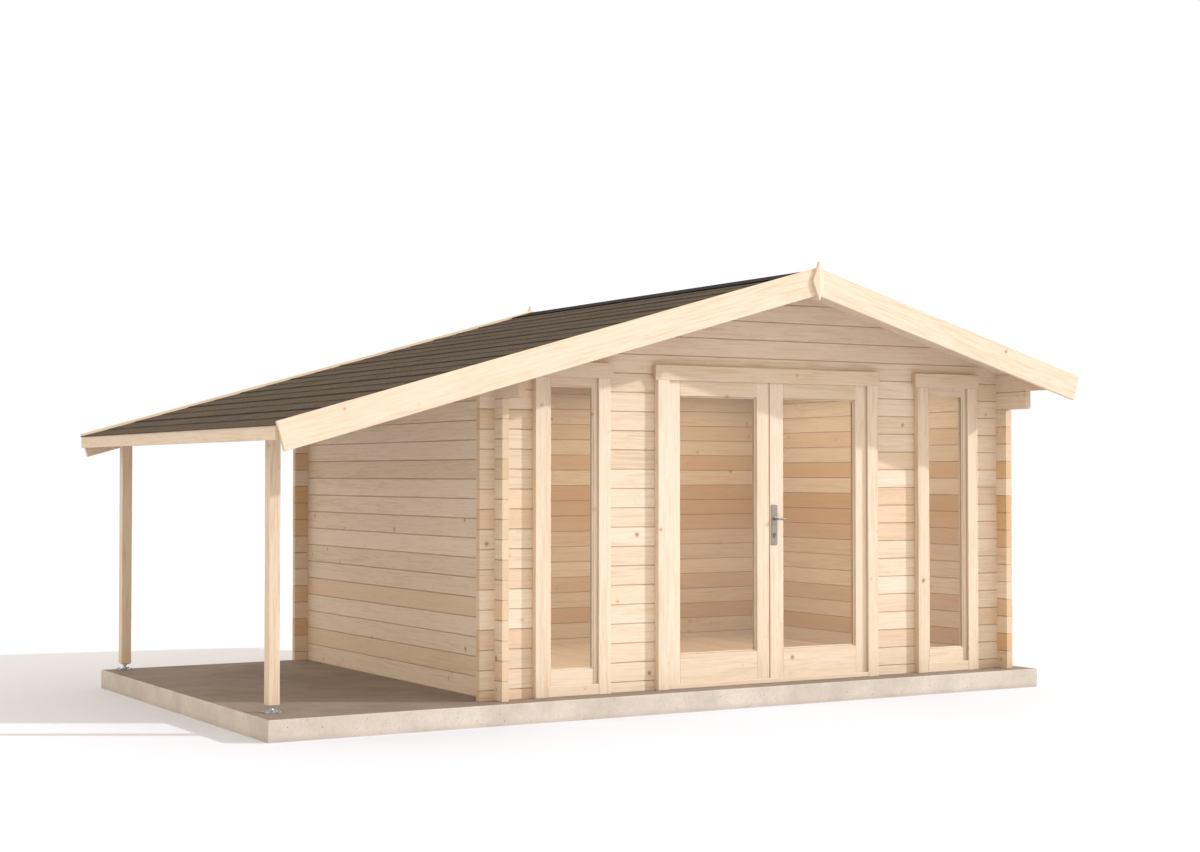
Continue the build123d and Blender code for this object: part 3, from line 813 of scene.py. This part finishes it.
# %% [markdown]
# ## Ridge purlin, eave beam and posts
# The ridge purlin and the beam over the posts are planed on top to the roof's slope. The posts have rounded
# corners, which a bevel in three steps gives.

# %% Beams and posts
low, high = corners("ridge_purlin")
outline = [(low.x, low.z), (high.x, low.z)] + [(x, underside(x)) for x in (high.x, 0, low.x)]
long_piece("beam_ridge", "ridge_purlin", outline, pines["along y"], eased_well)

low, high = corners("eave_beam")
outline = [(low.x, low.z), (high.x, low.z)] + [(x, underside(x)) for x in (high.x, low.x)]
long_piece("beam_eave", "eave_beam", outline, pines["along y"], eased_well)

post_half = 0.035
post_easing = 0.006
low, high = corners("posts")
post_x = (low.x + high.x) / 2
post_places = (low.y + post_half, high.y - post_half)
bm = bmesh.new()
for y in post_places:
    part = box((post_x - post_half, y - post_half, low.z), (post_x + post_half, y + post_half, high.z))
    ease(part, [e for e in part.edges if abs(e.verts[0].co.z - e.verts[1].co.z) > 0.1], post_easing, 3)
    join(bm, part)
mesh_piece(bm, "post_timbers", [pines["upright"]], "posts")
print("posts at x", round(post_x, 3), "y", [round(y, 3) for y in post_places])

# %% [markdown]
# ## Post feet
# The posts stand clear of the slab on galvanised feet: a base plate with four bolts, a threaded rod with a
# nut above and below, and a plate under the end grain. A hexagonal nut is a six-sided disc, and the rod's
# thread is a row of short cones, cheap and close enough at this size.

# %% Discs
AXIS_TURNS = {
    "z": Matrix.Identity(3),
    "x": Matrix.Rotation(quarter, 3, "Y"),
    "y": Matrix.Rotation(-quarter, 3, "X"),
}


def disc(bm, centre, radius, depth, axis="z", sides=24, easing=0.0, top_radius=None):
    """Adds a round or many-sided disc whose middle is at centre."""
    part = bmesh.new()
    second = radius if top_radius is None else top_radius
    bmesh.ops.create_cone(part, cap_ends=True, segments=sides, radius1=radius, radius2=second, depth=depth)
    bmesh.ops.rotate(part, cent=(0, 0, 0), matrix=AXIS_TURNS[axis], verts=part.verts)
    if easing:
        ease(part, [e for e in part.edges if not all(len(f.verts) == 4 for f in e.link_faces)], easing, 2)
    bmesh.ops.translate(part, vec=centre, verts=part.verts)
    join(bm, part)


print("discs along:", ", ".join(AXIS_TURNS))

# %% Two feet
base_half = 0.048
top_half = 0.030
plate = 0.006
plate_easing = 0.0012
rod, thread_pitch, thread_taper = 0.010, 0.0025, 0.9
nut_radius, nut_height = 0.0165, 0.010
bolt_reach = 0.034
washer_radius, washer_height = 0.0085, 0.0016
head_radius, head_height, head_sink = 0.0065, 0.0050, 0.0001


def threaded_rod(bm, y, low, high):
    """A rod between two heights whose thread is a row of short cones."""
    while low < high - 1e-6:
        step = min(thread_pitch, high - low)
        disc(bm, (post_x, y, low + step / 2), rod, step, sides=20, top_radius=rod * thread_taper)
        low += step


def bolts(bm, y, face):
    """Four bolt heads with washers on the base plate's upper face."""
    for x_reach in (-bolt_reach, bolt_reach):
        for y_reach in (-bolt_reach, bolt_reach):
            x, place_y = post_x + x_reach, y + y_reach
            disc(bm, (x, place_y, face + washer_height / 2), washer_radius, washer_height, sides=20)
            head = face + washer_height + head_height / 2 - head_sink
            disc(bm, (x, place_y, head), head_radius, head_height, sides=6, easing=eased_metal)


low, high = corners("post_anchors")
bm = bmesh.new()
for y in post_places:
    for half, bottom in ((base_half, low.z), (top_half, high.z - plate)):
        board(bm, (post_x - half, y - half, bottom), (post_x + half, y + half, bottom + plate), plate_easing)
    threaded_rod(bm, y, low.z + plate, high.z - plate)
    for nut in (low.z + plate + nut_height / 2, high.z - plate - nut_height / 2):
        disc(bm, (post_x, y, nut), nut_radius, nut_height, sides=6, easing=eased_thin)
    bolts(bm, y, low.z + plate)
mesh_piece(bm, "post_feet", [galvanised], "post_anchors")
print("post feet from", round(low.z, 3), "to", round(high.z, 3))

# %% [markdown]
# ## Floor
# The floor inside is boarded from front to back. It shows through the doors. The boards' edges are eased,
# which leaves on top the fine V that a tongued floor has.

# %% Floor boards
floor_easing = 0.0012
low, high = corners("floor")
floor_boards = round((high.x - low.x) / floor_tone[1])
width = (high.x - low.x) / floor_boards
bm = bmesh.new()
for index in range(floor_boards):
    x = low.x + index * width
    board(bm, (x, low.y, low.z), (x + width, high.y, high.z), floor_easing)
mesh_piece(bm, "floor_boards", [pines["floor"]], "floor")
print("floor boards:", floor_boards)

# %% [markdown]
# ## Door frame and window frames
# The frames wrap round the cut ends of the logs: a casing outside, a jamb in the wall's thickness and a
# casing inside. Real ones are separate boards nailed together, with the head board standing a little past
# the side boards at both ends. So each is made here board by board, and the fine shadow between two boards
# comes by itself. The side boards end half a millimetre before the logs' face, so that no two faces share
# that plane.

# %% Planes and heights that the frames share
casing_face, casing_back = -0.044, -0.028
wall_face, wall_back = -0.0005, 0.044
leaf_face, leaf_back = -0.023, 0.033
inner_face = 0.060
floor_top = 0.143
daylight_top, leaf_top, head_underside, opening_top = 2.066, 2.078, 2.083, 2.105
casing_top, inner_top = 2.161, 2.152


def upright_boards(bm, x, side, rows):
    """The upright boards beside an opening: rows of how far out, how deep and how high each one reaches."""
    for inner, outer, y_low, y_high, z_low, z_high in rows:
        ends = sorted((x + side * inner, x + side * outer))
        board(bm, (ends[0], y_low, z_low), (ends[1], y_high, z_high), eased_little)


def level_boards(bm, x, rows, material=0):
    """The level boards over and under an opening: rows of half length, depths, heights and easing."""
    for half, y_low, y_high, z_low, z_high, easing in rows:
        board(bm, (x - half, y_low, z_low), (x + half, y_high, z_high), easing, material)


print("casing from y", casing_face, "to", casing_back, "and from", wall_back, "to", inner_face)

# %% Doorway
doorway_half, jamb_face, hinge_step, door_rough = 0.786, 0.803, 0.811, 0.833
casing_edge, inner_edge, casing_half = 0.870, 0.880, 0.888
door_sides = (
    (doorway_half, casing_edge, casing_face, casing_back, slab_top, daylight_top),
    (jamb_face, casing_edge, casing_back, wall_face, slab_top, head_underside),
    (jamb_face, door_rough, wall_face, leaf_back, slab_top, head_underside),
    (hinge_step, door_rough, leaf_back, wall_back, slab_top, head_underside),
    (hinge_step, inner_edge, wall_back, inner_face, floor_top, head_underside),
)
door_levels = (
    (casing_half, casing_face, casing_back, daylight_top, casing_top, eased),
    (casing_half, casing_back, 0, head_underside, casing_top, eased),
    (door_rough, 0, wall_back, head_underside, opening_top, eased_thin),
    (inner_edge, wall_back, inner_face, head_underside, inner_top, eased),
)
for side, name in sides:
    bm = bmesh.new()
    upright_boards(bm, 0, side, door_sides)
    mesh_piece(bm, f"jamb_{name}", [pines["upright"]], f"door_frame_{name}")

bm = bmesh.new()
level_boards(bm, 0, door_levels)
mesh_piece(bm, "door_head", [pines["along x"]], "door_frame_head")

low, high = corners("door_threshold")
bm = bmesh.new()
board(bm, (-doorway_half, casing_face, low.z), (doorway_half, casing_back, high.z), eased_well)
board(bm, (-jamb_face, casing_back, low.z), (jamb_face, wall_back, floor_top), eased_little)
mesh_piece(bm, "door_sill", [pines["along x"]], "door_threshold")
print("doorway", round(2 * doorway_half, 3), "m wide,", round(daylight_top - slab_top, 3), "m high")

# %% Window frames
window_half, sash_half, window_rough = 0.179, 0.191, 0.209
window_inner, window_edge, window_head = 0.256, 0.263, 0.281
sash_bottom, sill_top = 0.179, 0.191
sash_back = 0.013
window_sides = (
    (window_half, window_edge, casing_face, casing_back, slab_top, daylight_top),
    (sash_half, window_edge, casing_back, wall_face, slab_top, leaf_top),
    (sash_half, window_rough, wall_face, sash_back, slab_top, opening_top),
    (window_half, window_rough, sash_back, wall_back, slab_top, opening_top),
    (window_half, window_inner, wall_back, inner_face, floor_top, daylight_top),
)
window_levels = (
    (window_head, casing_face, casing_back, daylight_top, casing_top, eased),
    (window_head, casing_back, 0, leaf_top, casing_top, eased),
    (sash_half, 0, sash_back, leaf_top, opening_top, eased_thin),
    (window_half, sash_back, wall_back, daylight_top, opening_top, eased_thin),
    (window_inner, wall_back, inner_face, daylight_top, inner_top, eased),
    (window_half, casing_face, casing_back, slab_top, sill_top, eased_well),
    (sash_half, casing_back, sash_back, slab_top, sash_bottom, eased_thin),
    (window_half, sash_back, wall_back, slab_top, sill_top, eased_thin),
    (window_half, wall_back, inner_face, floor_top, sill_top, eased),
)
bm = bmesh.new()
for x in (-window_x, window_x):
    for side in (-1, 1):
        upright_boards(bm, x, side, window_sides)
    level_boards(bm, x, window_levels, 1)
mesh_piece(bm, "window_casings", [pines["upright"], pines["along x"]], "window_frames")
print("window frames at x", -window_x, "and", window_x)

# %% [markdown]
# ## Sashes and door leaves
# A leaf is a frame of two upright stiles with rails between them, and a pane held by thin beads on both
# faces. Stiles run the full height, so the joint lines lie across at the rails' ends. Each stile, rail and
# bead is a board of its own. Eight millimetres of the pane are hidden in the frame's groove.

# %% Leaf helper
groove = 0.008
bead = 0.009


def glazed_frame(bm, low, high, pane_low, pane_high):
    """Stiles, rails and beads between a frame's two corners, round the glass that shows."""
    for x_low, x_high in ((low.x, pane_low.x), (pane_high.x, high.x)):
        board(bm, (x_low, low.y, low.z), (x_high, high.y, high.z))
    for z_low, z_high in ((low.z, pane_low.z), (pane_high.z, high.z)):
        board(bm, (pane_low.x, low.y, z_low), (pane_high.x, high.y, z_high), material=1)
    for y in (pane_low.y - bead, pane_high.y):
        for x in (pane_low.x, pane_high.x - bead):
            board(bm, (x, y, pane_low.z), (x + bead, y + bead, pane_high.z))
        for z in (pane_low.z, pane_high.z - bead):
            board(bm, (pane_low.x + bead, y, z), (pane_high.x - bead, y + bead, z + bead), material=1)


print("beads", bead * 1000, "mm wide")

# %% Window sashes
pane_half = 0.1525
glass_low, glass_high = corners("window_glass")
bm = bmesh.new()
for x in (-window_x, window_x):
    glazed_frame(
        bm, Vector((x - sash_half, leaf_face, sash_bottom)), Vector((x + sash_half, sash_back, leaf_top)),
        Vector((x - pane_half, glass_low.y, glass_low.z + groove)),
        Vector((x + pane_half, glass_high.y, glass_high.z - groove)))
mesh_piece(bm, "sash_frames", [pines["upright"], pines["along x"]], "window_sashes")
print("window panes from", round(glass_low.z, 3), "to", round(glass_high.z, 3))

# %% Door leaves
meeting_gap = 0.0005
hidden = Vector((groove, 0, groove))
for side, name in sides:
    low, high = corners(f"{name}_door_leaf")
    glass_low, glass_high = corners(f"{name}_door_glass")
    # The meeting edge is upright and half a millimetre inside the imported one, so the leaves pass each other
    if side < 0:
        high.x -= meeting_gap
    else:
        low.x += meeting_gap
    bm = bmesh.new()
    glazed_frame(bm, low, high, glass_low + hidden, glass_high - hidden)
    woods = [pines["upright"], pines["along x"]]
    mesh_piece(bm, f"leaf_{name}", woods, f"{name}_door_leaf", body=f"{name}_leaf")
print("leaf height", round((high.z - low.z) * 1000), "mm, thickness", round((high.y - low.y) * 1000), "mm")

# %% [markdown]
# ## Hinges
# Three lift-off hinges carry each leaf, on its inner side. The lower half, with the pin, is screwed to the
# jamb and the upper half to the leaf. Each barrel half is a cylinder with eased rims, and a screw head is a
# low disc.

# %% Hinge halves
barrel = 0.0075
hinge_half = 0.036
hinge_x, hinge_y = 0.8005, 0.041
split = 0.0004
leaf_edge = 0.798
hinge_plate, hinge_width = 0.0035, 0.026
plate_inset, plate_lap, web_lap = 0.0005, 0.001, 0.002
hinge_heights = (0.379, 1.1135, 1.848)
screw_radius, screw_rise = 0.0032, 0.0006
pin_screws, jamb_screw_reach = (0.008, 0.027), 0.016
sleeve_screws, leaf_screw_inset = (0.009, 0.027), 0.015
eased_hinge, eased_web = 0.0008, 0.0005


def hinge_pin(bm, side, height):
    """The hinge half on the jamb: barrel, plate, the web between them and two screws."""
    middle = height - (hinge_half + split) / 2
    disc(bm, (side * hinge_x, hinge_y, middle), barrel, hinge_half - split, sides=28, easing=eased_hinge)
    near, far = sorted((side * (hinge_step - hinge_plate), side * hinge_step))
    low, high = height - hinge_half, height - split
    plate_end = hinge_y + hinge_width - plate_inset
    board(bm, (near, hinge_y + plate_inset, low), (far, plate_end, high), eased_hinge)
    board(bm, (near, hinge_y - barrel / 2, low), (far, hinge_y + web_lap, high), eased_web)
    for drop in pin_screws:
        centre = (side * (hinge_step - hinge_plate), hinge_y + jamb_screw_reach, height - drop)
        disc(bm, centre, screw_radius, screw_rise, "x", 16)


print("hinge barrels", round(2000 * barrel, 1), "mm thick, in halves of", round(1000 * hinge_half), "mm")

# %% Hinges of both leaves
def hinge_sleeve(bm, side, height):
    """The hinge half on the leaf: barrel, plate and two screws."""
    middle = height + hinge_half / 2
    disc(bm, (side * hinge_x, hinge_y, middle), barrel, hinge_half, sides=28, easing=eased_hinge)
    near, far = sorted((side * (leaf_edge - hinge_width), side * (leaf_edge + plate_lap)))
    plate_face = leaf_back + hinge_plate
    board(bm, (near, leaf_back, height), (far, plate_face, height + hinge_half), eased_hinge)
    for rise in sleeve_screws:
        centre = (side * (leaf_edge - leaf_screw_inset), plate_face, height + rise)
        disc(bm, centre, screw_radius, screw_rise, "y", 16)


bm = bmesh.new()
for side in (-1, 1):
    for height in hinge_heights:
        hinge_pin(bm, side, height)
mesh_piece(bm, "hinge_pins", [bright_zinc], "door_hinges")

for side, name in sides:
    bm = bmesh.new()
    for height in hinge_heights:
        hinge_sleeve(bm, side, height)
    piece = f"hinge_sleeves_{name}"
    mesh_piece(bm, piece, [bright_zinc], f"{name}_leaf_hinges", body=f"{name}_leaf")
print("hinges:", 2 * len(hinge_heights))

# %% [markdown]
# ## Lock plates
# A long plate on each face of the right leaf carries the lever and the lock's cylinder. The plate's corners
# are round and its rim is bevelled. The cylinder is a round barrel over a narrow web. Its keyway in each
# face is a thin dark slip on the face, painted shade where the slot would be.

# %% Lock plates
lock_x, lever_z = 0.030, 1.184
lock_plate_bottom, lock_plate_top = lever_z - 0.170, lever_z + 0.094
plate_half, plate_thickness = 0.023, 0.006
plate_corner, plate_rim = 0.008, 0.0022
collar_radius, collar_depth = 0.0125, 0.0020
plate_screw_radius, plate_screw_depth, plate_screw_rise = 0.0036, 0.0010, 0.0003
plate_screw_z = (lock_plate_bottom + 0.016, lock_plate_top - 0.016)
cylinder_z, cylinder_radius = lever_z - 0.098, 0.0085
web_half, web_low, web_high = 0.005, cylinder_z - 0.0245, cylinder_z - 0.002
key_half, key_depth, key_low, key_high = 0.0009, 0.0003, cylinder_z - 0.0040, cylinder_z + 0.0045


def long_plate(bm, y_low, outward):
    """Round-cornered plate with a bevelled rim, its screws and the collar round the lever's neck."""
    y_high = y_low + plate_thickness
    low = (lock_x - plate_half, y_low, lock_plate_bottom)
    part = box(low, (lock_x + plate_half, y_high, lock_plate_top))
    ease(part, [e for e in part.edges if abs(e.verts[0].co.y - e.verts[1].co.y) > 0.001], plate_corner, 5)
    face_y = y_low if outward < 0 else y_high
    ease(part, [e for e in part.edges if all(abs(v.co.y - face_y) < 1e-6 for v in e.verts)], plate_rim, 2)
    join(bm, part)
    collar_y = face_y + outward * collar_depth / 2
    disc(bm, (lock_x, collar_y, lever_z), collar_radius, collar_depth, "y", 32, eased_metal)
    screw_y = face_y + outward * plate_screw_rise
    for z in plate_screw_z:
        disc(bm, (lock_x, screw_y, z), plate_screw_radius, plate_screw_depth, "y", 18, eased_metal / 2)


def lock_cylinder(bm, y_low, y_high):
    """Profile cylinder: a round barrel over a narrow web, and in each face a keyway of painted shade."""
    centre = (lock_x, (y_low + y_high) / 2, cylinder_z)
    disc(bm, centre, cylinder_radius, y_high - y_low, "y", 28, eased_metal)
    board(bm, (lock_x - web_half, y_low, web_low), (lock_x + web_half, y_high, web_high), eased_metal)
    # Each keyway is a thin slip in the dark felt: painted shade, not a slot.
    for y in (y_low, y_high):
        low, high = (lock_x - key_half, y - key_depth, key_low), (lock_x + key_half, y + key_depth, key_high)
        board(bm, low, high, 0, 1)


low, high = corners("lock_plates")
bm = bmesh.new()
long_plate(bm, leaf_face - plate_thickness, -1)
long_plate(bm, leaf_back, 1)
lock_cylinder(bm, low.y, high.y)
# The dark felt is there for the keyways' painted shade.
metals = [steel_plate, ridge_felt]
mesh_piece(bm, "lock_furniture", metals, "lock_plates", body="right_leaf")
print("lock plate", round((lock_plate_top - lock_plate_bottom) * 1000), "mm high")

# %% [markdown]
# ## Lever
# The lever is one bar: out of the plate, round a tight bend and along to a domed end. It is made as the real
# one is, by bending: a circle is extruded out, spun a quarter turn and extruded along. A wider neck covers
# its root.

# %% Lever
bar = 0.007
bend = 0.012
dome = 0.0035
neck, neck_length = 0.009, 0.014
bars = ((-0.063, 0.0), (0.073, 0.01))
neck_places = (-0.036, 0.046)
lever_end = corners("door_lever")[1].x


def bent_lever(bm, y_axis, y_start):
    """One side of the lever: root, bend and bar, from inside the leaf to the domed end."""
    outward = -1 if y_axis < y_start else 1
    y_bend = y_axis - outward * bend
    part = bmesh.new()
    ring = bmesh.ops.create_circle(part, cap_ends=True, segments=24, radius=bar)["verts"]
    bmesh.ops.rotate(part, cent=(0, 0, 0), matrix=Matrix.Rotation(quarter, 3, "X"), verts=ring)
    bmesh.ops.translate(part, vec=(lock_x, y_start, lever_z), verts=ring)
    face = grown(part, part.faces[:], (0, y_bend - y_start, 0))
    spun = bmesh.ops.spin(
        part, geom=face, cent=(lock_x + bend, y_bend, lever_z), axis=(0, 0, 1), angle=-outward * quarter,
        steps=8, use_duplicate=False, use_merge=False)
    face = [item for item in spun["geom_last"] if isinstance(item, bmesh.types.BMFace)]
    grown(part, face, (lever_end - (lock_x + bend), 0, 0))
    ease(part, [e for e in part.edges if all(abs(v.co.x - lever_end) < 1e-6 for v in e.verts)], dome, 4)
    bmesh.ops.recalc_face_normals(part, faces=part.faces)
    join(bm, part)


bm = bmesh.new()
for y_axis, y_start in bars:
    bent_lever(bm, y_axis, y_start)
for y in neck_places:
    disc(bm, (lock_x, y, lever_z), neck, neck_length, "y", 28, eased_thin)
mesh_piece(bm, "lever_bars", [steel_lever], "door_lever", body="lever")
print("lever reaches x", round(lever_end, 3))

# %% [markdown]
# ## Floor and backdrop
# The object stands on a plain pale floor. The world is a plain pale light from all sides, and shows as white
# only to the camera, to mirrors and through glass.

# %% Studio floor
bm = bmesh.new()
bmesh.ops.create_grid(bm, x_segments=1, y_segments=1, size=40)
mesh = bpy.data.meshes.new("studio_floor")
bm.to_mesh(mesh)
bm.free()
floor = bpy.data.objects.new("studio_floor", mesh)
bpy.context.scene.collection.objects.link(floor)
floor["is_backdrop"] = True

pale = new_material("pale_floor")
cloud = add(pale, NOISE, {"Vector": add(pale, COORDINATES).outputs["Object"], "Scale": 0.8, "Detail": 2.0})
tone = add(pale, MIX, {0: cloud, 6: colour("E0E6F4"), 7: colour("E3E9F6")}, data_type="RGBA")
surface = add(pale, SURFACE, {"Base Color": tone, "Roughness": 0.9, "Specular IOR Level": 0.1})
add(pale, OUTPUT, (surface,))
mesh.materials.append(pale)
print("floor material:", pale.name)

# %% World
world = bpy.data.worlds.new("studio")
bpy.context.scene.world = world
world.use_nodes = True
world.node_tree.nodes.clear()
sky = add(world, "ShaderNodeBackground", {"Color": colour("FFF2E0"), "Strength": 1.16})
white = add(world, "ShaderNodeBackground", {"Color": colour("FFFFFF"), "Strength": 1.0})
rays = add(world, "ShaderNodeLightPath").outputs
mirrored = (rays["Is Glossy Ray"], rays["Is Transmission Ray"])
seen = (rays["Is Camera Ray"], add(world, MATH, mirrored, operation="MAXIMUM"))
seen = add(world, MATH, seen, operation="MAXIMUM")
add(world, "ShaderNodeOutputWorld", (add(world, "ShaderNodeMixShader", (seen, sky, white)),))
print("world:", world.name)

# %% [markdown]
# ## Light
# One soft sun from the front right gives the roof's edge its shadow on the logs, as the photograph has. Two
# wide lamps under the ridge stand in for the daylight that fills the real, furnished room.

# %% Lamps
sun_data = bpy.data.lights.new("soft_sun", "SUN")
sun_data.energy = 2.5
sun_data.angle = math.radians(1.2)
sun_data.color = (0.96, 0.97, 1.0)
sun = bpy.data.objects.new("soft_sun", sun_data)
sun.rotation_euler = Vector((1.70, -1.0, 0.96)).to_track_quat("Z", "Y").to_euler()
bpy.context.scene.collection.objects.link(sun)

fill_size, fill_place = (1.6, 2.4), (1.0, 1.5, 2.12)
for side in (-1, 1):
    fill_data = bpy.data.lights.new("room_fill", "AREA")
    fill_data.shape = "RECTANGLE"
    fill_data.size, fill_data.size_y = fill_size
    fill_data.energy = 21
    fill_data.color = (1.0, 0.87, 0.68)
    fill = bpy.data.objects.new("room_fill", fill_data)
    fill.location = (side * fill_place[0], *fill_place[1:])
    fill.visible_camera = False
    fill.visible_transmission = False
    fill.visible_glossy = False
    bpy.context.scene.collection.objects.link(fill)
bpy.context.scene.view_settings.view_transform = "Standard"
print("sun energy", sun_data.energy)

# %% [markdown]
# ## Size
# The dressed cabin has to stay as big as the imported one. The box round every shown piece, the floor left
# out, is printed.

# %% Print the box round the shown pieces
low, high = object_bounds()
print("visual box", low[:], high[:])
